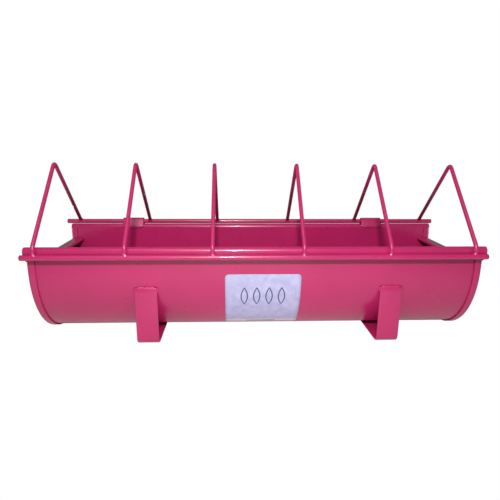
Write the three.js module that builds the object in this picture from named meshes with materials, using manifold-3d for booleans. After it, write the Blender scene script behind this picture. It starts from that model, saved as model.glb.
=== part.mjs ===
// Trough feeder for poultry and small livestock.
// One bent steel sheet makes the trough, with an oval bottom and a rolled lip on both sides. A
// flanged plate closes each end, and two strap feet hold it off the ground. A guard of two rods and
// six bent wires covers the opening: its back rod turns under two straps on the back lip, and its
// front rod closes down in front of the front lip.
// Millimetres, +Z up, +X along the trough, +Y to the back. The origin is on the ground, below the
// middle of the trough.

import * as THREE from "three";
import { mergeVertices } from "three/addons/utils/BufferGeometryUtils.js";
import Module from "manifold-3d";

const wasm = await Module();
wasm.setup();

// ---- driving dimensions ----

const gap = 0.3; // left between pieces that touch
const roundSteps = 10; // half the number of flats on a half circle
const mergeDistance = 1e-4;

const troughLength = 497; // 500 over the caps
const sheet = 1.2;
const innerHalfWidth = 66.3; // from the middle to the inner face of a side wall
const bowlHeight = 85.4; // where the straight walls end and the oval bottom begins
const bowlStretch = 14.9; // how much deeper the oval is than it is wide, from its centre
const lipRadius = 4.65; // of the half-round lip's outer skin
const lipHeight = 110.4; // of the lip's centre
const lipSkirt = 4; // straight run below the half round, on its outer side

const rodRadius = 3;
const hingeRodLength = 509.6;
const frontRodLength = 500;
const frontRodHeight = 105.4;
const rodSides = 16;
const rodEndSteps = 4;

const wireRadius = 2.25;
const wireCount = 6;
const wireSides = 10;
const wirePitch = 94.6;
const guardMiddle = -1.2; // x of the middle of the rods and of the row of wires
const wireDrift = [0, 0, -2, 1.5, 1.5, 0]; // how far the hand-set wires stand off the even pitch
const apexHeight = 200.9; // where the two straight runs of a wire would cross
const apexBend = 7; // how far from the apex the bend there begins
const elbowHeight = 115.8; // where a front leg turns in over the lip
const elbowBend = 5;
const bendSteps = 6;

const flangeDepth = 16.3; // how far the cap's top flange reaches in from its outer face
const flangeTop = 96.8; // height of the flange's inner edge
const flangeSlope = 0.11; // its fall per millimetre outwards
const seamWidth = 8;
const wingDepth = 6.4; // how far the cap's corners reach in under the lips
const wingBottom = 98;
const wingCorner = 103;

const strapWidth = 25;
const strap = 2;
const strapTop = 67.8;
const strapBend = 8;
const footPlaces = [-125.3, 149.8];

const hingeStrapWidth = 28;
const hingeStrapSheet = 1.5;
const hingeStrapPlace = 166; // either side of the middle
const hingeStrapFoot = 1.5; // how far it runs down past the point where it meets the lip
const hingeStrapTail = 107.4; // height of its lower edge behind the lip

const labelWidth = 85;
const labelCentre = 4.8;
const labelSheet = 0.4;
const labelStart = THREE.MathUtils.degToRad(1.6); // how far round the oval it begins
const labelEnd = THREE.MathUtils.degToRad(60.6);

// ---- worked out from them ----

const halfLength = troughLength / 2;
const outerHalfWidth = innerHalfWidth + sheet;
const seamHalfWidth = outerHalfWidth + gap + sheet;
const rimMiddle = outerHalfWidth + (gap + sheet) / 2; // of the rim's outer band
const lipMiddle = innerHalfWidth + lipRadius;
const lipReach = lipMiddle + lipRadius; // from the middle to the outermost edge of a lip

// The hinge rod lies on the back lip, with its back flush with the lip's edge.
const hingeRodY = lipReach - rodRadius;
const rodStandOff = lipRadius + gap + rodRadius;
const hingeRodHeight = lipHeight + Math.sqrt(rodStandOff ** 2 - (hingeRodY - lipMiddle) ** 2);

// The front rod swings about the hinge rod just clear of the front lip's lower edge.
const lipEdgeHeight = lipHeight - lipSkirt;
const lipEdgeSwing = Math.hypot(hingeRodY + lipReach, hingeRodHeight - lipEdgeHeight);
const frontRodSwing = lipEdgeSwing + gap + rodRadius;
const frontRodY =
  hingeRodY - Math.sqrt(frontRodSwing ** 2 - (hingeRodHeight - frontRodHeight) ** 2);

// ---- colours ----

const pink = { color: 0xc22a68, roughness: 0.3, metalness: 0 };
const silver = { color: 0xbfbfdc, roughness: 0.4, metalness: 0 };

// ---- helpers ----

const feeder = new THREE.Group();

/** Adds one named sub-part. */
function addPart(name, geometry, look) {
  const mesh = new THREE.Mesh(geometry, new THREE.MeshStandardMaterial(look));
  mesh.name = name;
  feeder.add(mesh);
  return mesh;
}

/** Extrudes an outline of (y, z) points along X, centred on middleX. */
function prismAlongX(shape, length, middleX = 0) {
  const geometry = new THREE.ExtrudeGeometry(shape, {
    depth: length,
    bevelEnabled: false,
    curveSegments: roundSteps,
  });
  return turnToX(geometry).translate(middleX - length / 2, 0, 0);
}

/** Turns an extrusion's own x, y, z to the part's Y, Z, X. */
function turnToX(geometry) {
  const turn = new THREE.Matrix4().makeBasis(
    new THREE.Vector3(0, 1, 0),
    new THREE.Vector3(0, 0, 1),
    new THREE.Vector3(1, 0, 0),
  );
  return geometry.applyMatrix4(turn);
}

/** Extrudes an outline of (x, z) points along Y, centred on the middle. */
function prismAlongY(shape, length) {
  const geometry = new THREE.ExtrudeGeometry(shape, { depth: length, bevelEnabled: false });
  const turn = new THREE.Matrix4().makeBasis(
    new THREE.Vector3(1, 0, 0),
    new THREE.Vector3(0, 0, 1),
    new THREE.Vector3(0, -1, 0),
  );
  return geometry.applyMatrix4(turn).translate(0, length / 2, 0);
}

/** Turns a closed geometry into a solid that can be joined and cut. */
function toSolid(geometry) {
  const bare = geometry.clone();
  bare.deleteAttribute("normal");
  bare.deleteAttribute("uv");
  const merged = mergeVertices(bare, mergeDistance);
  return new wasm.Manifold(
    new wasm.Mesh({
      numProp: 3,
      vertProperties: new Float32Array(merged.attributes.position.array),
      triVerts: new Uint32Array(merged.index.array),
    }),
  );
}

/** Turns a solid back into a geometry. */
function toGeometry(solid) {
  const mesh = solid.getMesh();
  const geometry = new THREE.BufferGeometry();
  geometry.setAttribute("position", new THREE.BufferAttribute(mesh.vertProperties, 3));
  geometry.setIndex(new THREE.BufferAttribute(mesh.triVerts, 1));
  geometry.computeVertexNormals();
  return geometry;
}

// ---- trough body ----

/** Adds the oval bottom to an outline, between two angles, at a given half width of the walls. */
function addOval(shape, halfWidth, start, end) {
  const depth = halfWidth + bowlStretch;
  shape.absellipse(0, bowlHeight, halfWidth, depth, start, end, end < start);
}

/** The section of the sheet: lip, wall, oval bottom, wall, lip. */
function troughSection() {
  const underLip = lipRadius - sheet;
  const section = new THREE.Shape();
  section.absarc(-lipMiddle, lipHeight, lipRadius, Math.PI, 0, true);
  addOval(section, innerHalfWidth, Math.PI, 2 * Math.PI);
  section.absarc(lipMiddle, lipHeight, lipRadius, Math.PI, 0, true);
  section.lineTo(lipReach, lipEdgeHeight);
  section.lineTo(lipReach - sheet, lipEdgeHeight);
  section.absarc(lipMiddle, lipHeight, underLip, 0, Math.PI, false);
  addOval(section, outerHalfWidth, 2 * Math.PI, Math.PI);
  section.absarc(-lipMiddle, lipHeight, underLip, 0, Math.PI, false);
  section.lineTo(sheet - lipReach, lipEdgeHeight);
  section.lineTo(-lipReach, lipEdgeHeight);
  section.closePath();
  return section;
}

addPart("trough_body", prismAlongX(troughSection(), troughLength), pink);

// ---- end caps ----

/** The trough's own outline at a given half width, open upwards to the height top. */
function bowlShape(halfWidth, top) {
  const shape = new THREE.Shape();
  addOval(shape, halfWidth, Math.PI, 2 * Math.PI);
  shape.lineTo(halfWidth, top);
  shape.lineTo(-halfWidth, top);
  shape.closePath();
  return shape;
}

/** Fills the end of one lip and the corner below it, seen along X; side is -1 front, +1 back. */
function wingShape(side, radius) {
  const [start, end] = side > 0 ? [0, Math.PI] : [Math.PI, 0];
  const shape = new THREE.Shape();
  shape.moveTo(side * rimMiddle, wingBottom);
  shape.lineTo(side * (lipMiddle + radius), wingCorner);
  shape.absarc(side * lipMiddle, lipHeight, radius, start, end, side < 0);
  shape.closePath();
  return shape;
}

/** The cap of the +X end: a flat web, a rim that folds round the sheet, and a flange at its top. */
function endCapGeometry() {
  const sheetEnd = halfLength + gap;
  const outer = sheetEnd + sheet;
  const inner = outer - flangeDepth;
  const rimInside = innerHalfWidth - gap - sheet;
  const block = (halfWidth, top, from, to) =>
    toSolid(prismAlongX(bowlShape(halfWidth, top), to - from, (from + to) / 2));

  const flangeHeight = (x) => flangeTop - flangeSlope * (x - inner);
  const flange = new THREE.Shape([
    new THREE.Vector2(inner, flangeHeight(inner)),
    new THREE.Vector2(inner, flangeHeight(inner) - sheet),
    new THREE.Vector2(outer, flangeHeight(outer) - sheet),
    new THREE.Vector2(outer, flangeHeight(outer)),
  ]);
  const web = block(rimInside, flangeHeight(outer), outer - sheet, outer);

  const sheetRoom = block(outerHalfWidth + gap, lipHeight, outer - seamWidth, sheetEnd).subtract(
    block(rimInside + sheet, lipHeight, outer - seamWidth, sheetEnd),
  );
  const rim = block(seamHalfWidth, lipHeight - gap, outer - seamWidth, outer)
    .subtract(block(rimInside, lipHeight, outer - seamWidth, outer))
    .subtract(sheetRoom);

  const wings = [-1, 1].flatMap((side) => [
    prismAlongX(wingShape(side, lipRadius - sheet - gap), wingDepth, outer - wingDepth / 2),
    prismAlongX(wingShape(side, lipRadius), sheet, outer - sheet / 2),
  ]);
  const solids = [prismAlongY(flange, 2 * (rimInside + sheet)), ...wings].map(toSolid);
  return toGeometry(solids.reduce((cap, solid) => cap.add(solid), rim.add(web)));
}

addPart("end_cap_right", endCapGeometry(), pink);
addPart("end_cap_left", endCapGeometry(), pink).rotation.z = Math.PI;

// ---- feet ----

/** A strap bent up on both sides of the trough, seen along X. */
function footShape() {
  const share = (bowlHeight - strapTop) / (outerHalfWidth + bowlStretch);
  const inside = outerHalfWidth * Math.sqrt(1 - share ** 2) + gap;
  const outside = inside + strap;
  const bendY = outside - strapBend;
  const right = 1.5 * Math.PI;
  const shape = new THREE.Shape();
  shape.absarc(-bendY, strapBend, strapBend, Math.PI, right, false);
  shape.absarc(bendY, strapBend, strapBend, right, 2 * Math.PI, false);
  shape.lineTo(outside, strapTop);
  shape.lineTo(inside, strapTop);
  shape.absarc(bendY, strapBend, strapBend - strap, 2 * Math.PI, right, true);
  shape.absarc(-bendY, strapBend, strapBend - strap, right, Math.PI, true);
  shape.lineTo(-inside, strapTop);
  shape.lineTo(-outside, strapTop);
  shape.closePath();
  return shape;
}

for (const [index, name] of ["foot_left", "foot_right"].entries()) {
  addPart(name, prismAlongX(footShape(), strapWidth, footPlaces[index]), pink);
}

// ---- hinge straps ----

/** A strap welded to the back lip on both sides of the hinge rod, seen along X. */
function hingeStrapShape() {
  const rodSeat = rodRadius + gap;
  const climb = Math.atan2(hingeRodHeight - lipHeight, hingeRodY - lipMiddle);
  const lean = climb + Math.acos((lipRadius - rodRadius) / rodStandOff);
  const footPoint = (reach) =>
    new THREE.Vector2(reach, hingeStrapFoot)
      .rotateAround(new THREE.Vector2(), lean)
      .add(new THREE.Vector2(lipMiddle, lipHeight));
  const inside = footPoint(lipRadius + gap);
  const outside = footPoint(lipRadius + gap + hingeStrapSheet);
  const shape = new THREE.Shape();
  shape.absarc(hingeRodY, hingeRodHeight, rodSeat, lean, 0, true);
  shape.lineTo(hingeRodY + rodSeat, hingeStrapTail);
  shape.lineTo(hingeRodY + rodSeat + hingeStrapSheet, hingeStrapTail);
  shape.absarc(hingeRodY, hingeRodHeight, rodSeat + hingeStrapSheet, 0, lean, false);
  shape.lineTo(outside.x, outside.y);
  shape.lineTo(inside.x, inside.y);
  shape.closePath();
  return shape;
}

for (const [name, side] of [["hinge_strap_left", -1], ["hinge_strap_right", 1]]) {
  addPart(name, prismAlongX(hingeStrapShape(), hingeStrapWidth, side * hingeStrapPlace), pink);
}

// ---- guard rods ----

/** A straight rod with round ends, along X. */
function rodGeometry(length) {
  const straight = length - 2 * rodRadius;
  return new THREE.CapsuleGeometry(rodRadius, straight, rodEndSteps, rodSides).rotateZ(Math.PI / 2);
}

const hingeRod = addPart("hinge_rod", rodGeometry(hingeRodLength), pink);
hingeRod.position.set(guardMiddle, hingeRodY, hingeRodHeight);
const frontRod = addPart("front_rod", rodGeometry(frontRodLength), pink);
frontRod.position.set(guardMiddle, frontRodY, frontRodHeight);

// ---- guard wires ----

/** A route that is given station by station, so that straight runs need only their two ends. */
class Route extends THREE.Curve {
  constructor(stations) {
    super();
    this.stations = stations;
  }
  stationAt(u) {
    return this.stations[Math.round(u * (this.stations.length - 1))];
  }
  getPointAt(u) {
    return this.stationAt(u).point.clone();
  }
  getTangentAt(u) {
    return this.stationAt(u).tangent.clone();
  }
}

/** Rounds each inner corner of a line of points; setbacks says how far from it the bend starts. */
function bentRoute(corners, setbacks, stepsPerBend) {
  const towards = (from, to) => to.clone().sub(from).normalize();
  const last = corners.length - 1;
  const stations = [{ point: corners[0], tangent: towards(corners[0], corners[1]) }];
  for (let i = 1; i < last; i += 1) {
    const start = towards(corners[i], corners[i - 1]).multiplyScalar(setbacks[i]).add(corners[i]);
    const end = towards(corners[i], corners[i + 1]).multiplyScalar(setbacks[i]).add(corners[i]);
    const bend = new THREE.QuadraticBezierCurve3(start, corners[i], end);
    for (let step = 0; step <= stepsPerBend; step += 1) {
      const t = step / stepsPerBend;
      stations.push({ point: bend.getPoint(t), tangent: bend.getTangent(t) });
    }
  }
  stations.push({ point: corners[last], tangent: towards(corners[last - 1], corners[last]) });
  return new Route(stations);
}

/** One inverted V: up from the front rod past the lip, over the trough, down to the hinge rod. */
function wireGeometry() {
  const legY = -(lipReach + gap + wireRadius);
  const apex = new THREE.Vector3(0, 0, apexHeight);
  const hingeCentre = new THREE.Vector3(0, hingeRodY, hingeRodHeight);
  const backEnd = apex.clone().sub(hingeCentre).setLength(rodRadius + gap).add(hingeCentre);
  const corners = [
    new THREE.Vector3(0, legY, frontRodHeight + rodRadius + gap),
    new THREE.Vector3(0, legY, elbowHeight),
    apex,
    backEnd,
  ];
  const route = bentRoute(corners, [0, elbowBend, apexBend, 0], bendSteps);
  const section = new THREE.Shape().absarc(0, 0, wireRadius, 0, 2 * Math.PI, false);
  return new THREE.ExtrudeGeometry(section, {
    steps: route.stations.length - 1,
    extrudePath: route,
    curveSegments: wireSides / 2,
  });
}

for (let i = 0; i < wireCount; i += 1) {
  const wire = addPart(`wire_${i + 1}`, wireGeometry(), pink);
  wire.position.x = guardMiddle + wirePitch * (i - (wireCount - 1) / 2) + wireDrift[i];
}

// ---- label ----

/** A thin sheet that follows the front of the oval bottom, seen along X. */
function labelShape() {
  const back = outerHalfWidth + gap;
  const shape = new THREE.Shape();
  addOval(shape, back, Math.PI + labelStart, Math.PI + labelEnd);
  addOval(shape, back + labelSheet, Math.PI + labelEnd, Math.PI + labelStart);
  shape.closePath();
  return shape;
}

addPart("label", prismAlongX(labelShape(), labelWidth, labelCentre), silver);

export default feeder;
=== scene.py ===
"""Looks of the trough feeder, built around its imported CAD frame.

Metres, +X right along the trough, +Y to the back, +Z up, origin on the ground below its middle.
"""

import math

import bmesh
import bpy
from mathutils import Matrix, Vector, noise


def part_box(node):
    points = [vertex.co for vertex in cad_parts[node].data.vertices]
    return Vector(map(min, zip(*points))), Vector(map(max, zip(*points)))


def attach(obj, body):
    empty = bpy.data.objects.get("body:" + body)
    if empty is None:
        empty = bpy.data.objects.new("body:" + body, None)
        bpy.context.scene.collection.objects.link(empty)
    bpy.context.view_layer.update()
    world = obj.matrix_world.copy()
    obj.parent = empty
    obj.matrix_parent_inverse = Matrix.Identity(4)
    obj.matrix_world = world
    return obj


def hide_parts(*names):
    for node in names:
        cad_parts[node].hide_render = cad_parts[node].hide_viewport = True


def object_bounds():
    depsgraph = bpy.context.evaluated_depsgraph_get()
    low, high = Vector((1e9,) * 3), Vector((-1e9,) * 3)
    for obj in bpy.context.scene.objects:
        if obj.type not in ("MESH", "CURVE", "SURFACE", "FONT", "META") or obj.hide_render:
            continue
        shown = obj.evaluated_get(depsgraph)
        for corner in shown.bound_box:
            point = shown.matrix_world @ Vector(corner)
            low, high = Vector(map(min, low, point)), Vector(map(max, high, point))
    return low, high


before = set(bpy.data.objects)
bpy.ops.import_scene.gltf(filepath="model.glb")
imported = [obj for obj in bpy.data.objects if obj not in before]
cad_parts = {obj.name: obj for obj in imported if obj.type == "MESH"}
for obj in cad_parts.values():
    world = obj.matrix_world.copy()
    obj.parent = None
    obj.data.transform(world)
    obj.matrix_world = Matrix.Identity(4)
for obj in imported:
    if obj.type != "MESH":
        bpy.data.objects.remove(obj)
cad_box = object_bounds()

MM = 0.001

# ---- sizes, read from the frame where it has them ----

trough_low, trough_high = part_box("trough_body")
cap_low, cap_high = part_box("end_cap_right")
hinge_low, hinge_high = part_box("hinge_rod")
front_low, front_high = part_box("front_rod")
wire_low, wire_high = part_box("wire_1")
label_low, label_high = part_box("label")

SHEET = 1.2 * MM
GAP = 0.3 * MM
LIP_RADIUS = 4.65 * MM
LIP_SKIRT = 4 * MM  # straight run below the lip's half round, on its outer side
LIP_HEIGHT = trough_high.z - LIP_RADIUS
LIP_MIDDLE = trough_high.y - LIP_RADIUS
WALL_INSIDE = LIP_MIDDLE - LIP_RADIUS
WALL_OUTSIDE = WALL_INSIDE + SHEET
BOWL_STRETCH = 14.9 * MM  # how much deeper the oval bottom is than it is wide
BOWL_HEIGHT = trough_low.z + WALL_OUTSIDE + BOWL_STRETCH

RIM_WIDTH = 8 * MM
FLANGE_TOP = 96.8 * MM
FLANGE_SLOPE = 0.11
WING_BOTTOM = 98 * MM
WING_CORNER = 103 * MM

FOOT_STRAP = 2 * MM
FOOT_BEND = 8 * MM
HINGE_STRAP = 1.5 * MM
HINGE_STRAP_FOOT = 1.5 * MM  # how far it runs down past the point where it meets the lip

ROD_RADIUS = (hinge_high.z - hinge_low.z) / 2
HINGE_ROD = Vector((0, (hinge_low.y + hinge_high.y) / 2, (hinge_low.z + hinge_high.z) / 2))
FRONT_ROD = Vector((0, (front_low.y + front_high.y) / 2, (front_low.z + front_high.z) / 2))

WEB_RECESS = 1.4 * MM  # of a cap's web behind its rolled rim

WIRE_RADIUS = 2.25 * MM
WIRE_ELBOW = 115.8 * MM
WIRE_PEAK = wire_high.z + 0.35 * MM  # where the two straight runs of a wire would cross
WIRE_ELBOW_BEND = 5 * MM  # how far from the elbow its bend begins
WIRE_PEAK_BEND = 7 * MM
WIRE_TUCK = 0.4 * MM  # how far a wire's end sinks into the rod

# ---- mesh helpers ----


def polar(centre, radius, start, end, count):
    """Points (y, z) on an arc about centre, from start to end degrees, both ends included."""
    turns = (start + (end - start) * i / (count - 1) for i in range(count))
    angles = [math.radians(turn) for turn in turns]
    return [(centre[0] + radius * math.cos(a), centre[1] + radius * math.sin(a)) for a in angles]


def oval(half_width, start, end, count):
    """Points (y, z) on the oval bottom at a given half width, from start to end degrees."""
    depth = half_width + BOWL_STRETCH
    turns = (start + (end - start) * i / (count - 1) for i in range(count))
    angles = [math.radians(turn) for turn in turns]
    return [(half_width * math.cos(a), BOWL_HEIGHT + depth * math.sin(a)) for a in angles]


def straight(start, end, count):
    """Points strictly between start and end, evenly spaced."""
    shares = [(i + 1) / (count + 1) for i in range(count)]
    return [(start[0] + (end[0] - start[0]) * t, start[1] + (end[1] - start[1]) * t) for t in shares]


def side_normals(path):
    """The left-hand unit normal at each point of a (y, z) path."""
    normals = []
    for i in range(len(path)):
        before = path[max(i - 1, 0)]
        after = path[min(i + 1, len(path) - 1)]
        along = Vector((after[0] - before[0], after[1] - before[1])).normalized()
        normals.append((-along.y, along.x))
    return normals


def link_piece(name, mesh, body, node, material):
    """Links a mesh, with its faces as they are, as a piece that stands for one CAD node."""
    data = bpy.data.meshes.new(name)
    for face in mesh.faces:
        face.smooth = True
    mesh.to_mesh(data)
    mesh.free()
    piece = bpy.data.objects.new(name, data)
    bpy.context.scene.collection.objects.link(piece)
    data.materials.append(material)
    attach(piece, body)
    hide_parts(node)
    return piece


def make_piece(name, mesh, body, node, material):
    """Turns every face of a closed mesh outwards, and links it as a piece."""
    mesh.normal_update()
    bmesh.ops.recalc_face_normals(mesh, faces=mesh.faces[:])
    return link_piece(name, mesh, body, node, material)


def add_loops(mesh, rings, caps=True):
    """Joins rings of points of equal length into a skin, and closes its ends if caps is set."""
    loops = [[mesh.verts.new(point) for point in ring] for ring in rings]
    count = len(loops[0])
    for near, far in zip(loops, loops[1:]):
        for i in range(count):
            j = (i + 1) % count
            mesh.faces.new((near[i], near[j], far[j], far[i]))
    if caps:
        for loop in (loops[0][::-1], loops[-1]):
            middle = mesh.verts.new(sum((v.co for v in loop), Vector()) / count)
            for i in range(count):
                mesh.faces.new((loop[i], loop[(i + 1) % count], middle))
    return loops


def add_ribbon(mesh, path, thickness, x_from, x_to):
    """A sheet that follows a (y, z) path and runs along X, with every edge rounded over."""
    edge_steps = 4
    thinnest = 0.12  # share of the thickness left at the very edge
    half = thickness / 2
    normals = side_normals(path)

    def ring(x, reach):
        """Once round the sheet's section at x: up one side, over the end, back down the other."""
        points = []
        last = len(path) - 1
        for side, order in ((1, range(last + 1)), (-1, range(last, -1, -1))):
            for i in order:
                y = path[i][0] + side * reach * normals[i][0]
                z = path[i][1] + side * reach * normals[i][1]
                points.append(Vector((x, y, z)))
            end = last if side > 0 else 0
            out = Vector((0, path[end][0], path[end][1])) - Vector((0, *path[end - side]))
            out.normalize()
            across = Vector((0, side * normals[end][0], side * normals[end][1]))
            centre = Vector((x, *path[end]))
            for k in range(1, edge_steps):
                turn = math.pi * k / edge_steps
                points.append(centre + reach * (across * math.cos(turn) + out * math.sin(turn)))
        return points

    turns = [math.pi / 2 * k / edge_steps for k in range(edge_steps + 1)]
    fine = [(x_from + half * (1 - math.sin(t)), half * math.cos(t)) for t in reversed(turns)]
    fine = [(x, max(reach, thinnest * half)) for x, reach in fine]
    stations = fine + [(x_from + x_to - x, reach) for x, reach in reversed(fine)]
    loops = add_loops(mesh, [ring(x, reach) for x, reach in stations], caps=False)
    count = len(loops[0])
    points = len(path)
    start_of_return = points + edge_steps - 1
    for loop in (loops[0], loops[-1]):
        for i in range(points - 1):
            back = start_of_return + points - 1 - i
            mesh.faces.new((loop[i], loop[i + 1], loop[back - 1], loop[back]))
        mesh.faces.new([loop[i] for i in range(points - 1, start_of_return + 1)])
        last_of_return = 2 * points + edge_steps - 2
        mesh.faces.new([loop[0], *reversed(loop[last_of_return:])])


def add_tube(mesh, centres, radii, sides=28):
    """A round skin along a line of centres, with its own radius at each, closed at both ends."""
    rings = []
    for i, centre in enumerate(centres):
        before = centres[max(i - 1, 0)]
        after = centres[min(i + 1, len(centres) - 1)]
        along = (after - before).normalized()
        across = Vector((1, 0, 0)) if abs(along.x) < 0.9 else Vector((0, 1, 0))
        across = (across - along * across.dot(along)).normalized()
        up = along.cross(across)
        turns = [2 * math.pi * k / sides for k in range(sides)]
        rings.append([centre + radii[i] * (across * math.cos(t) + up * math.sin(t)) for t in turns])
    add_loops(mesh, rings)


def dished_rod(start, end, radius):
    """Centres and radii of a straight rod, whose ends are dished: each closes inside the rod."""
    end_steps, straight_steps = 6, 60
    along = (end - start).normalized()
    depth = 0.75 * radius
    turns = [math.pi / 2 * (k + 0.25) / (end_steps + 0.25) for k in range(end_steps)]
    front = [(start + along * depth * (1 - math.sin(t)), radius * math.sin(t)) for t in turns]
    run = (end - start).length - 2 * depth
    middle = [
        (start + along * (depth + run * k / straight_steps), radius)
        for k in range(straight_steps + 1)
    ]
    back = [(end - (centre - start), r) for centre, r in reversed(front)]
    return zip(*(front + middle + back))


def add_bead(mesh, start, end, radius, seed):
    """A weld bead: a run of overlapping ripples that tapers off at both ends."""
    ring_spacing, ripple_spacing = 0.35 * MM, 1.9 * MM
    ripple_height, lump_height, tip = 0.10, 0.16, 0.12
    lumps_per_metre = 450
    sides = 14
    length = (end - start).length
    along = (end - start).normalized()
    count = max(int(length / ring_spacing), 8)
    across = Vector((0, 1, 0)) if abs(along.y) < 0.9 else Vector((1, 0, 0))
    up = along.cross(across)
    rings = []
    for i in range(count + 1):
        share = i / count
        taper = min(1.0, math.sin(math.pi * share) * 3.2) ** 0.5 if 0 < i < count else tip
        ripple = 1 + ripple_height * abs(math.sin(math.pi * share * length / ripple_spacing))
        ring = []
        for k in range(sides):
            turn = 2 * math.pi * k / sides
            place = Vector((share * length * lumps_per_metre + seed, math.cos(turn), math.sin(turn)))
            reach = radius * taper * ripple * (1 + lump_height * noise.noise(place))
            side = across * math.cos(turn) + up * math.sin(turn)
            ring.append(start + along * length * share + side * reach)
        rings.append(ring)
    add_loops(mesh, rings)


# ---- materials ----


class Shading:
    """A small helper to build one material's nodes."""

    def __init__(self, name):
        self.material = bpy.data.materials.new(name)
        self.material.use_nodes = True
        self.tree = self.material.node_tree
        self.shader = self.tree.nodes["Principled BSDF"]
        self.place = self.tree.nodes.new("ShaderNodeTexCoord").outputs["Object"]

    def node(self, kind, **settings):
        made = self.tree.nodes.new("ShaderNode" + kind)
        for key, value in settings.items():
            setattr(made, key, value)
        return made

    def link(self, source, target):
        self.tree.links.new(source, target)

    def noise(self, scale, detail=2.0, roughness=0.5):
        made = self.node("TexNoise")
        made.inputs["Scale"].default_value = scale
        made.inputs["Detail"].default_value = detail
        made.inputs["Roughness"].default_value = roughness
        self.link(self.place, made.inputs["Vector"])
        return made.outputs["Fac"]

    def spread(self, source, low, high, from_low=0.3, from_high=0.7):
        """Maps a noise value to a range."""
        made = self.node("MapRange")
        made.inputs["From Min"].default_value = from_low
        made.inputs["From Max"].default_value = from_high
        made.inputs["To Min"].default_value = low
        made.inputs["To Max"].default_value = high
        self.link(source, made.inputs["Value"])
        return made.outputs["Result"]

    def blend(self, factor, first, second):
        """Mixes two colours, each a value or a socket."""
        made = self.node("Mix", data_type="RGBA")
        self.link(factor, made.inputs["Factor"])
        for key, value in (("A", first), ("B", second)):
            socket = next(s for s in made.inputs if s.name == key and s.type == "RGBA")
            if isinstance(value, bpy.types.NodeSocket):
                self.link(value, socket)
            else:
                socket.default_value = (*value, 1)
        return next(s for s in made.outputs if s.type == "RGBA")

    def bump(self, height, distance, strength, under=None):
        made = self.node("Bump")
        made.inputs["Distance"].default_value = distance
        made.inputs["Strength"].default_value = strength
        self.link(height, made.inputs["Height"])
        if under is not None:
            self.link(under, made.inputs["Normal"])
        return made.outputs["Normal"]

    def edges(self, radius):
        """1 on sharp edges and 0 on flat ground."""
        bevel = self.node("Bevel", samples=4)
        bevel.inputs["Radius"].default_value = radius
        plain = self.node("NewGeometry").outputs["Normal"]
        facing = self.node("VectorMath", operation="DOT_PRODUCT")
        self.link(bevel.outputs["Normal"], facing.inputs[0])
        self.link(plain, facing.inputs[1])
        return self.spread(facing.outputs["Value"], 1.0, 0.0, 0.80, 0.995)


PAINT = (0.490, 0.0150, 0.118)
PAINT_DEEP = (0.430, 0.0115, 0.100)
PAINT_THIN = (0.560, 0.0400, 0.190)


def powder_coat(name, wave, peel, roughness):
    """Glossy pink powder coat: orange peel, slow waves of the sheet, and thin paint on edges."""
    shading = Shading(name)
    cloud = shading.spread(shading.noise(14, 2), 0.0, 1.0)
    speckle = shading.spread(shading.noise(1500, 1), 0.0, 0.25, 0.45, 0.75)
    base = shading.blend(cloud, PAINT_DEEP, PAINT)
    base = shading.blend(speckle, base, PAINT_THIN)
    worn = shading.node("Math", operation="MULTIPLY")
    shading.link(shading.edges(0.5 * MM), worn.inputs[0])
    shading.link(shading.spread(shading.noise(160, 3), 0.1, 0.7), worn.inputs[1])
    base = shading.blend(worn.outputs["Value"], base, PAINT_THIN)
    shading.link(base, shading.shader.inputs["Base Color"])

    haze = shading.spread(shading.noise(90, 4, 0.6), roughness - 0.03, roughness + 0.05)
    shading.link(haze, shading.shader.inputs["Roughness"])
    slow = shading.bump(shading.noise(9, 1), 2.2 * MM, wave)
    fine = shading.bump(shading.noise(620, 2, 0.4), 0.06 * MM, peel, under=slow)
    shading.link(fine, shading.shader.inputs["Normal"])
    shading.shader.inputs["IOR"].default_value = 1.5
    shading.shader.inputs["Specular IOR Level"].default_value = 0.5
    shading.shader.inputs["Coat Weight"].default_value = 0.35
    shading.shader.inputs["Coat Roughness"].default_value = 0.07
    shading.link(fine, shading.shader.inputs["Coat Normal"])
    return shading.material


SEED_COUNT = 4
SEED_MARGIN = 0.17  # share of the label's width left plain at each side
SEED_HALF_WIDTH = 0.30
SEED_HALF_HEIGHT = 0.15
SEED_CENTRE = 0.66
SEED_LINE = 0.3
FOOT_STRIP = 0.12  # height of the pale strip, as a share of the label's
DASH_COUNT = 34  # across the whole label; only those near its middle are printed
DASH_SHARE = 0.72


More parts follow.
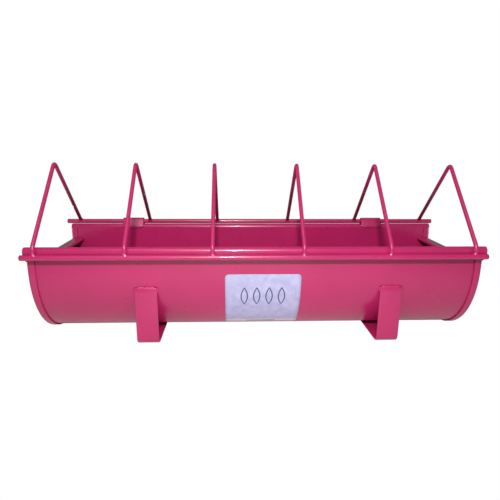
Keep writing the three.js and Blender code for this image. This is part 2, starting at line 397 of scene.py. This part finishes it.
def film(name):
    """Silver-lilac printed film: a row of dark seed outlines over a pale strip with short dashes."""
    shading = Shading(name)
    split = shading.node("SeparateXYZ")
    coordinates = shading.node("UVMap", uv_map="film").outputs["UV"]
    shading.link(coordinates, split.inputs["Vector"])
    across, up = split.outputs["X"], split.outputs["Y"]

    def calculate(operation, first, second=None, third=None):
        made = shading.node("Math", operation=operation)
        for socket, value in zip(made.inputs, (first, second, third)):
            if isinstance(value, bpy.types.NodeSocket):
                shading.link(value, socket)
            elif value is not None:
                socket.default_value = value
        return made.outputs["Value"]

    def inside(value, centre, half):
        """1 where value is within half of centre."""
        return calculate("COMPARE", value, centre, half)

    field = calculate("DIVIDE", calculate("SUBTRACT", across, SEED_MARGIN), 1 - 2 * SEED_MARGIN)
    repeat = calculate("FRACT", calculate("MULTIPLY", field, SEED_COUNT))
    seed_x = calculate("DIVIDE", calculate("SUBTRACT", repeat, 0.5), SEED_HALF_WIDTH)
    seed_y = calculate("DIVIDE", calculate("SUBTRACT", up, SEED_CENTRE), SEED_HALF_HEIGHT)
    bulge = calculate("SUBTRACT", 1.0, calculate("MULTIPLY", seed_y, seed_y))
    seed = calculate("LESS_THAN", calculate("ABSOLUTE", seed_x), bulge)
    core = calculate("LESS_THAN", calculate("ABSOLUTE", seed_x), calculate("SUBTRACT", bulge, SEED_LINE))
    outline = calculate("SUBTRACT", seed, core)
    margin = inside(across, 0.5, 0.5 - SEED_MARGIN)
    printed = calculate("MULTIPLY", outline, margin)
    foot = calculate("LESS_THAN", up, FOOT_STRIP)
    dash_row = inside(up, 0.45 * FOOT_STRIP, 0.17 * FOOT_STRIP)
    dashes = calculate("MULTIPLY", dash_row, inside(across, 0.5, 0.2))
    step = calculate("FRACT", calculate("MULTIPLY", across, DASH_COUNT))
    broken = calculate("LESS_THAN", step, DASH_SHARE)
    dashes = calculate("MULTIPLY", dashes, broken)

    sheen = shading.spread(shading.noise(130, 3), 0.0, 1.0)
    silver = shading.blend(sheen, (0.39, 0.39, 0.62), (0.53, 0.51, 0.72))
    colour = shading.blend(foot, silver, (0.74, 0.70, 0.73))
    colour = shading.blend(printed, colour, (0.035, 0.045, 0.16))
    colour = shading.blend(dashes, colour, (0.05, 0.04, 0.06))
    shading.link(colour, shading.shader.inputs["Base Color"])
    shading.link(
        shading.spread(shading.noise(300, 2), 0.3, 0.42), shading.shader.inputs["Roughness"]
    )
    shading.link(
        shading.bump(shading.noise(70, 2), 0.3 * MM, 0.12), shading.shader.inputs["Normal"]
    )
    return shading.material


sheet_paint = powder_coat("paint_on_sheet", wave=0.10, peel=0.10, roughness=0.30)
strap_paint = powder_coat("paint_on_strap", wave=0.04, peel=0.14, roughness=0.34)
rod_paint = powder_coat("paint_on_rod", wave=0.02, peel=0.12, roughness=0.30)
label_film = film("printed_film")

# ---- trough ----


def trough_path():
    """The middle of the sheet's section: lip, wall, round bottom, wall, lip."""
    lip = LIP_RADIUS - SHEET / 2
    wall = WALL_INSIDE + SHEET / 2
    edge = LIP_HEIGHT - LIP_SKIRT + SHEET / 2
    path = [(-LIP_MIDDLE - lip, edge), (-LIP_MIDDLE - lip, (edge + LIP_HEIGHT) / 2)]
    path += polar((-LIP_MIDDLE, LIP_HEIGHT), lip, 180, 0, 33)
    path += straight((-wall, LIP_HEIGHT), (-wall, BOWL_HEIGHT), 6)
    path += oval(wall, 180, 360, 121)
    path += straight((wall, BOWL_HEIGHT), (wall, LIP_HEIGHT), 6)
    path += polar((LIP_MIDDLE, LIP_HEIGHT), lip, 180, 0, 33)
    path += [(LIP_MIDDLE + lip, (edge + LIP_HEIGHT) / 2), (LIP_MIDDLE + lip, edge)]
    return path


def build_trough():
    mesh = bmesh.new()
    add_ribbon(mesh, trough_path(), SHEET, trough_low.x, trough_high.x)
    return make_piece("trough_sheet", mesh, "trough", "trough_body", sheet_paint)


# ---- end caps ----


def add_u_skin(mesh, section, top_of):
    """A skin that runs down one side of the trough's outline, round the bowl and up the other.

    section lists (x, reach) with reach from the middle plane, and top_of gives each column's top.
    """
    arm_rows, bowl_rows = 12, 72
    columns = []
    for x, reach in section:
        top = top_of(x, reach)
        drops = [(top, BOWL_HEIGHT, k / arm_rows) for k in range(arm_rows)]
        left = [Vector((x, -reach, a + (b - a) * t)) for a, b, t in drops]
        bowl = [Vector((x, y, z)) for y, z in oval(reach, 180, 360, bowl_rows + 1)]
        right = [Vector((x, -p.y, p.z)) for p in reversed(left)]
        columns.append([mesh.verts.new(p) for p in left + bowl + right])
    for near, far in zip(columns, columns[1:]):
        for i in range(len(near) - 1):
            mesh.faces.new((near[i], near[i + 1], far[i + 1], far[i]))
    return columns


def cap_sections():
    """The cap's middle surfaces as lists of (x, reach): web with outer band, and inner band."""
    half = SHEET / 2
    rim_inner = WALL_INSIDE - GAP - half
    rim_outer = WALL_OUTSIDE + GAP + half
    turn = (rim_outer - rim_inner) / 2
    roll_reach = (rim_outer + rim_inner) / 2
    roll_x = cap_high.x - half - turn
    rim_edge = cap_high.x - RIM_WIDTH
    web_x = cap_high.x - half - WEB_RECESS
    outer = [(web_x, share * rim_inner) for share in (0.0, 0.25, 0.5, 0.75, 0.9)]
    outer += [(web_x, rim_inner - 2.4 * MM), (web_x + 0.25 * WEB_RECESS, rim_inner - 1.3 * MM)]
    outer += [(x, reach) for reach, x in polar((roll_reach, roll_x), turn, 140, 0, 13)]
    outer += [(roll_x + (rim_edge - roll_x) * k / 6, rim_outer) for k in range(1, 7)]
    inner = [(roll_x + (rim_edge - roll_x) * k / 4, rim_inner) for k in range(5)]
    return outer, inner


def build_cap(side, name, node):
    def flange_height(x):
        return FLANGE_TOP - FLANGE_SLOPE * (x - cap_low.x)

    def top_of(x, reach):
        if reach < WALL_INSIDE - GAP - SHEET:
            return flange_height(x) - SHEET
        return LIP_HEIGHT - GAP

    mesh = bmesh.new()
    outer, inner = cap_sections()
    columns = add_u_skin(mesh, outer, top_of)
    crimp_rim(columns)
    bmesh.ops.remove_doubles(mesh, verts=mesh.verts[:], dist=1e-6)
    piece_mesh = thicken(mesh, SHEET)
    band = bmesh.new()
    add_u_skin(band, inner, top_of)
    thicken(band, SHEET, onto=piece_mesh)

    add_flange(piece_mesh, flange_height)
    for front_or_back in (-1, 1):
        add_wing(piece_mesh, front_or_back)
        seam_y = front_or_back * (WALL_OUTSIDE + 1.5 * MM)
        seam = Vector((cap_high.x - SHEET, seam_y, WING_BOTTOM + 0.6 * MM))
        seam_run = Vector((0, front_or_back * 5.5 * MM, 3.9 * MM))
        seed = 3.0 * side + front_or_back
        add_bead(piece_mesh, seam, seam + seam_run, 1.0 * MM, seed)
    if side < 0:
        turn = Matrix.Rotation(math.pi, 4, "Z")
        bmesh.ops.transform(piece_mesh, matrix=turn, verts=piece_mesh.verts[:])
    return make_piece(name, piece_mesh, "trough", node, sheet_paint)


def crimp_rim(columns):
    """Presses shallow pleats into the rim's outer band where it runs round the bowl."""
    band = columns[-6:]
    for depth, column in enumerate(band):
        for vertex in column:
            turn = math.atan2(vertex.co.z - BOWL_HEIGHT, abs(vertex.co.y))
            if turn > 0:
                continue
            share = min(1.0, -turn / 0.5)
            pleat = 0.5 - 0.5 * math.cos(turn * 52)
            lift = 0.28 * MM * share * pleat * (depth + 1) / len(band)
            out = Vector((0, vertex.co.y, vertex.co.z - BOWL_HEIGHT)).normalized()
            vertex.co -= out * lift * 0.4
            vertex.co.x += lift * 0.5


def thicken(mesh, thickness, onto=None):
    """Turns a skin into a closed sheet with slightly rounded edges, added to onto if given."""
    data = bpy.data.meshes.new("skin")
    bmesh.ops.recalc_face_normals(mesh, faces=mesh.faces[:])
    mesh.to_mesh(data)
    mesh.free()
    holder = bpy.data.objects.new("skin", data)
    bpy.context.scene.collection.objects.link(holder)
    solid = holder.modifiers.new("solid", "SOLIDIFY")
    solid.thickness = thickness
    solid.offset = 0
    solid.use_even_offset = True
    solid.use_quality_normals = True
    bevel = holder.modifiers.new("bevel", "BEVEL")
    bevel.width = 0.3 * thickness
    bevel.segments = 3
    bevel.limit_method = "ANGLE"
    bevel.angle_limit = math.radians(50)
    evaluated = holder.evaluated_get(bpy.context.evaluated_depsgraph_get())
    thick = onto if onto is not None else bmesh.new()
    thick.from_mesh(evaluated.to_mesh())
    evaluated.to_mesh_clear()
    bpy.data.objects.remove(holder)
    bpy.data.meshes.remove(data)
    return thick


def add_flange(mesh, height_of):
    """The flange at a cap's top: a sheet with a turned-down inner edge, across the trough."""
    half_width = WALL_INSIDE - GAP
    under = SHEET / 2
    drop = 2.2 * MM
    outer_x = cap_high.x - SHEET
    centre = (cap_low.x + drop, height_of(cap_low.x) - drop)
    arc = polar(centre, drop - under, 97, 190, 9)
    outline = [(outer_x, height_of(outer_x) - under), *arc]
    outline += [(arc[-1][0] + 0.2 * MM, arc[-1][1] - 0.9 * MM)]
    normals = side_normals(outline)
    stations = [(-half_width, 0.3), (-half_width + 0.35 * MM, 0.8), (-half_width + 0.8 * MM, 1.0)]
    stations += [(half_width * k / 8, 1.0) for k in range(-7, 8)]
    stations += [(-y, r) for y, r in reversed(stations[:3])]
    rings = []
    for y, share in stations:
        reach = under * share
        left = [Vector((x + n[0] * reach, y, z + n[1] * reach)) for (x, z), n in zip(outline, normals)]
        right = [Vector((x - n[0] * reach, y, z - n[1] * reach)) for (x, z), n in zip(outline, normals)]
        rings.append(left + right[::-1])
    add_loops_sheet(mesh, rings, len(outline))


def add_loops_sheet(mesh, rings, points):
    """Joins rings round a thin section, and closes its ends with quads across the thickness."""
    loops = add_loops(mesh, rings, caps=False)
    for loop in (loops[0], loops[-1]):
        for i in range(points - 1):
            j = 2 * points - 1 - i
            mesh.faces.new((loop[i], loop[i + 1], loop[j - 1], loop[j]))


def add_wing(mesh, side):
    """Closes the end of one lip and the corner below it; side is -1 front, +1 back."""
    root = (side * (WALL_OUTSIDE + 0.75 * MM), WING_BOTTOM)
    corner = (side * (LIP_MIDDLE + LIP_RADIUS), WING_CORNER)
    start, end = (0, 180) if side > 0 else (180, 0)
    arc = polar((side * LIP_MIDDLE, LIP_HEIGHT), LIP_RADIUS, start, end, 33)
    outline = [root, *straight(root, corner, 3), corner, *arc]
    centre = Vector((0, side * LIP_MIDDLE, LIP_HEIGHT - 2 * MM))
    rings = []
    round_over = 0.55 * MM
    faces = [(cap_high.x - SHEET, 0.1 * MM)] + [
        (cap_high.x - round_over + round_over * d, inset * round_over)
        for d, inset in ((0, 0.0), (0.45, 0.1), (0.8, 0.4), (1.0, 1.0))
    ]
    for x, inset in faces:
        ring = []
        for y, z in outline:
            point = Vector((0, y, z))
            inward = (centre - point).normalized()
            placed = point + inward * inset
            ring.append(Vector((x, placed.y, placed.z)))
        rings.append(ring)
    add_loops(mesh, rings)


# ---- feet ----


def build_foot(name, node, seed):
    low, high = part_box(node)
    half = FOOT_STRAP / 2
    reach = high.y - half
    bend = FOOT_BEND - half
    middle = reach - bend
    top = high.z - half
    path = [(-reach, top), *straight((-reach, top), (-reach, FOOT_BEND), 7)]
    path += polar((-middle, FOOT_BEND), bend, 180, 270, 13)
    path += straight((-middle, half), (middle, half), 7)
    path += polar((middle, FOOT_BEND), bend, 270, 360, 13)
    path += straight((reach, FOOT_BEND), (reach, top), 7)
    path += [(reach, top)]
    mesh = bmesh.new()
    add_ribbon(mesh, path, FOOT_STRAP, low.x, high.x)
    for side in (-1, 1):
        bead_y = side * (high.y - FOOT_STRAP + 0.1 * MM)
        add_bead(
            mesh,
            Vector((low.x + 2 * MM, bead_y, high.z - 0.2 * MM)),
            Vector((high.x - 2 * MM, bead_y, high.z - 0.2 * MM)),
            1.5 * MM, seed + side,
        )
        for edge_x in (low.x, high.x):
            add_bead(
                mesh,
                Vector((edge_x, bead_y, high.z - 0.5 * MM)),
                Vector((edge_x, bead_y - side * 1.0 * MM, high.z - 6 * MM)),
                1.2 * MM, seed + 2 * side + 40 * edge_x,
            )
    return make_piece(name, mesh, "trough", node, strap_paint)


# ---- hinge straps ----


def build_hinge_strap(name, node, seed):
    low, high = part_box(node)
    half = HINGE_STRAP / 2
    lip_seat = LIP_RADIUS + GAP + half
    rod_seat = ROD_RADIUS + GAP + half
    stand_off = Vector((HINGE_ROD.y - LIP_MIDDLE, HINGE_ROD.z - LIP_HEIGHT))
    climb = math.degrees(math.atan2(stand_off.y, stand_off.x))
    lean = climb + math.degrees(math.acos((LIP_RADIUS - ROD_RADIUS) / stand_off.length))
    radial = Vector((math.cos(math.radians(lean)), math.sin(math.radians(lean))))
    downhill = Vector((-radial.y, radial.x))
    meets = Vector((LIP_MIDDLE, LIP_HEIGHT)) + radial * lip_seat
    foot_end = meets + downhill * (HINGE_STRAP_FOOT - half)
    path = [tuple(foot_end), tuple(meets)]
    path += polar((HINGE_ROD.y, HINGE_ROD.z), rod_seat, lean, 0, 25)
    path += straight((HINGE_ROD.y + rod_seat, HINGE_ROD.z), (HINGE_ROD.y + rod_seat, low.z + half), 6)
    path += [(HINGE_ROD.y + rod_seat, low.z + half)]
    mesh = bmesh.new()
    add_ribbon(mesh, path, HINGE_STRAP, low.x, high.x)
    foot_y, foot_z = polar((LIP_MIDDLE, LIP_HEIGHT), LIP_RADIUS + 0.4 * MM, lean + 17, lean + 17, 2)[0]
    add_bead(
        mesh,
        Vector((low.x + 2 * MM, foot_y, foot_z)),
        Vector((high.x - 2 * MM, foot_y, foot_z)),
        1.1 * MM, seed,
    )
    add_bead(
        mesh,
        Vector((low.x + 4 * MM, high.y - half - 0.5 * MM, low.z)),
        Vector((high.x - 4 * MM, high.y - half - 0.5 * MM, low.z)),
        1.2 * MM, seed + 5,
    )
    return make_piece(name, mesh, "trough", node, strap_paint)


# ---- guard ----


def build_rod(name, node):
    low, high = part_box(node)
    y, z = (low.y + high.y) / 2, (low.z + high.z) / 2
    centres, radii = dished_rod(Vector((low.x, y, z)), Vector((high.x, y, z)), ROD_RADIUS)
    mesh = bmesh.new()
    add_tube(mesh, list(centres), list(radii), sides=40)
    return make_piece(name, mesh, "guard", node, rod_paint)


def wire_route(x):
    """The line of a wire's middle: from the front rod over its elbow and peak to the hinge rod."""
    leg_y = wire_low.y + WIRE_RADIUS
    peak = Vector((x, 0, WIRE_PEAK))
    elbow = Vector((x, leg_y, WIRE_ELBOW))
    front_end = Vector((x, leg_y, FRONT_ROD.z + ROD_RADIUS - WIRE_TUCK))
    hinge = Vector((x, HINGE_ROD.y, HINGE_ROD.z))
    back_end = hinge + (peak - hinge).normalized() * (ROD_RADIUS - WIRE_TUCK)
    corners = [front_end, elbow, peak, back_end]
    setbacks = [0, WIRE_ELBOW_BEND, WIRE_PEAK_BEND, 0]
    bend_steps = 12
    route = []
    for i, corner in enumerate(corners):
        if setbacks[i] == 0:
            route.append(corner)
            continue
        start = corner + (corners[i - 1] - corner).normalized() * setbacks[i]
        end = corner + (corners[i + 1] - corner).normalized() * setbacks[i]
        for k in range(bend_steps + 1):
            t = k / bend_steps
            route.append(start * (1 - t) ** 2 + corner * 2 * t * (1 - t) + end * t**2)
    return route


def add_collar(mesh, tip, along, rod, seed):
    """A weld fillet between a wire and a rod. along points from the wire's end into the rod."""
    across = Vector((1, 0, 0))
    up = along.cross(across)
    steps, sides = 9, 28
    height = 3.2 * MM
    flare = 1.5 * MM
    rings = []
    for j in range(steps + 1):
        share = j / steps
        ring = []
        for k in range(sides):
            turn = 2 * math.pi * k / sides
            direction = across * math.cos(turn) + up * math.sin(turn)
            place = Vector((seed, 2 * math.cos(turn), 2 * math.sin(turn) + share))
            lump = 1 + 0.22 * noise.noise(place)
            radius = WIRE_RADIUS - 0.15 * MM + flare * lump * share**2.4
            start = tip - along * height + direction * radius
            reach = surface_distance(start, along, rod)
            ring.append(start + along * reach * share)
        rings.append(ring)
    add_loops(mesh, rings)


def surface_distance(start, along, rod):
    """How far start travels along a direction in the (y, z) plane until it is just inside a rod."""
    offset = Vector((start.y - rod.y, start.z - rod.z))
    way = Vector((along.y, along.z))
    middle = -offset.dot(way)
    inside = (ROD_RADIUS - 0.25 * MM) ** 2 - (offset.length_squared - middle**2)
    return middle - math.sqrt(inside) if inside > 0 else middle


def build_wire(number):
    node = f"wire_{number}"
    low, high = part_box(node)
    route = wire_route((low.x + high.x) / 2)
    mesh = bmesh.new()
    add_tube(mesh, route, [WIRE_RADIUS] * len(route), sides=28)
    for first, second, rod in ((0, 1, FRONT_ROD), (-1, -2, HINGE_ROD)):
        along = (route[first] - route[second]).normalized()
        add_collar(mesh, route[first], along, rod, seed=number * 7.3 + first)
    return make_piece(f"guard_wire_{number}", mesh, "guard", node, rod_paint)


# ---- label ----


def build_label():
    """A thin film on the front wall that runs down and round the bowl, with rounded corners."""
    lift = GAP * 0.25
    thickness = 0.12 * MM
    reach = WALL_OUTSIDE + lift + thickness
    drops = [(BOWL_HEIGHT - z) / (reach + BOWL_STRETCH) for z in (label_high.z, label_low.z)]
    start, end = (180 + math.degrees(math.asin(drop)) for drop in drops)
    path = oval(reach, start, end, 61)
    lengths = [0.0]
    for before, after in zip(path, path[1:]):
        lengths.append(lengths[-1] + math.dist(before, after))
    total = lengths[-1]
    corner = 4 * MM
    middle = (label_low.x + label_high.x) / 2
    half_width = (label_high.x - label_low.x) / 2
    places = sorted(
        {corner * (1 - math.cos(math.pi / 2 * k / 8)) for k in range(9)}
        | {total - corner * (1 - math.cos(math.pi / 2 * k / 8)) for k in range(9)}
        | {corner + (total - 2 * corner) * k / 24 for k in range(1, 24)}
    )
    mesh = bmesh.new()
    layer = mesh.loops.layers.uv.new("film")
    flat = {}
    rows = []
    columns = 24
    for place in places:
        i = max(k for k in range(len(path)) if lengths[k] <= place + 1e-9)
        i = min(i, len(path) - 2)
        t = (place - lengths[i]) / (lengths[i + 1] - lengths[i])
        y = path[i][0] + (path[i + 1][0] - path[i][0]) * t
        z = path[i][1] + (path[i + 1][1] - path[i][1]) * t
        near = min(place, total - place)
        cut = corner - math.sqrt(max(corner**2 - (corner - min(near, corner)) ** 2, 0))
        row = []
        for k in range(columns + 1):
            x = middle + (half_width - cut) * (2 * k / columns - 1)
            vertex = mesh.verts.new((x, y, z))
            flat[vertex] = ((x - middle) / (2 * half_width) + 0.5, 1 - place / total)
            row.append(vertex)
        rows.append(row)
    for upper, lower in zip(rows, rows[1:]):
        for k in range(columns):
            face = mesh.faces.new((upper[k], lower[k], lower[k + 1], upper[k + 1]))
            for loop in face.loops:
                loop[layer].uv = flat[loop.vert]
    mesh.normal_update()
    piece = link_piece("label_film", mesh, "trough", "label", label_film)
    solid = piece.modifiers.new("solid", "SOLIDIFY")
    solid.thickness = thickness
    solid.offset = -1
    return piece


# ---- all pieces ----

build_trough()
build_cap(1, "cap_right", "end_cap_right")
build_cap(-1, "cap_left", "end_cap_left")
build_foot("strap_foot_left", "foot_left", 11)
build_foot("strap_foot_right", "foot_right", 23)
build_hinge_strap("rod_strap_left", "hinge_strap_left", 31)
build_hinge_strap("rod_strap_right", "hinge_strap_right", 47)
build_rod("guard_hinge_rod", "hinge_rod")
build_rod("guard_front_rod", "front_rod")
for wire_number in range(1, 7):
    build_wire(wire_number)
build_label()

# ---- floor, light and camera ----


def build_floor():
    """A plain white floor that runs far past the object."""
    data = bpy.data.meshes.new("floor")
    reach, height = 12, -0.2 * MM
    corners = [(-reach, -reach), (reach, -reach), (reach, reach), (-reach, reach)]
    data.from_pydata([(x, y, height) for x, y in corners], [], [(0, 1, 2, 3)])
    floor = bpy.data.objects.new("floor", data)
    bpy.context.scene.collection.objects.link(floor)
    material = bpy.data.materials.new("floor_white")
    material.use_nodes = True
    tree = material.node_tree
    shader = tree.nodes["Principled BSDF"]
    shader.inputs["Base Color"].default_value = (0.82, 0.82, 0.82, 1)
    shader.inputs["Roughness"].default_value = 0.9
    glow = tree.nodes.new("ShaderNodeEmission")
    glow.inputs["Strength"].default_value = 1.0
    seen = tree.nodes.new("ShaderNodeLightPath")
    mixed = tree.nodes.new("ShaderNodeMixShader")
    output = tree.nodes["Material Output"]
    tree.links.new(seen.outputs["Is Camera Ray"], mixed.inputs["Fac"])
    tree.links.new(shader.outputs["BSDF"], mixed.inputs[1])
    tree.links.new(glow.outputs["Emission"], mixed.inputs[2])
    tree.links.new(mixed.outputs["Shader"], output.inputs["Surface"])
    data.materials.append(material)


def build_world():
    """A white room: bright to look at, and a soft fill on the object."""
    world = bpy.data.worlds.new("studio")
    bpy.context.scene.world = world
    world.use_nodes = True
    tree = world.node_tree
    background = tree.nodes["Background"]
    background.inputs["Color"].default_value = (1, 1, 1, 1)
    background.inputs["Strength"].default_value = 0.2
    white = tree.nodes.new("ShaderNodeBackground")
    white.inputs["Color"].default_value = (1, 1, 1, 1)
    seen = tree.nodes.new("ShaderNodeLightPath")
    mixed = tree.nodes.new("ShaderNodeMixShader")
    tree.links.new(seen.outputs["Is Camera Ray"], mixed.inputs["Fac"])
    tree.links.new(background.outputs["Background"], mixed.inputs[1])
    tree.links.new(white.outputs["Background"], mixed.inputs[2])
    tree.links.new(mixed.outputs["Shader"], tree.nodes["World Output"].inputs["Surface"])


def build_light(name, place, target, size, power):
    data = bpy.data.lights.new(name, "AREA")
    data.shape = "DISK"
    data.size = size
    data.energy = power
    lamp = bpy.data.objects.new(name, data)
    bpy.context.scene.collection.objects.link(lamp)
    lamp.location = place
    lamp.rotation_mode = "QUATERNION"
    lamp.rotation_quaternion = (Vector(target) - Vector(place)).to_track_quat("-Z", "Y")


def build_camera():
    """Just above the feeder and a little left of its middle, looking slightly down and right."""
    yaw, pitch, roll = (math.radians(a) for a in (2.42, 13.82, 0.44))
    forward = Vector((math.sin(yaw) * math.cos(pitch), math.cos(yaw) * math.cos(pitch), -math.sin(pitch)))
    level = Vector((math.cos(yaw), -math.sin(yaw), 0))
    upright = level.cross(forward)
    right = level * math.cos(roll) + upright * math.sin(roll)
    up = upright * math.cos(roll) - level * math.sin(roll)
    data = bpy.data.cameras.new("camera")
    data.sensor_width = 36
    data.lens = 30.57
    camera = bpy.data.objects.new("camera", data)
    bpy.context.scene.collection.objects.link(camera)
    turn = Matrix((right, up, -forward)).transposed().to_4x4()
    camera.matrix_world = Matrix.Translation((-0.0293, -0.5159, 0.2212)) @ turn
    bpy.context.scene.camera = camera


build_floor()
build_world()
middle_height = (cad_box[0].z + cad_box[1].z) / 2
build_light("key", (-0.034, -0.540, 0.402), (0, 0, middle_height), 0.05, 3.4)
build_light("soft", (-0.3, -1.0, 1.6), (0, 0, middle_height), 1.2, 5)
build_camera()
bpy.context.scene.view_settings.view_transform = "Standard"
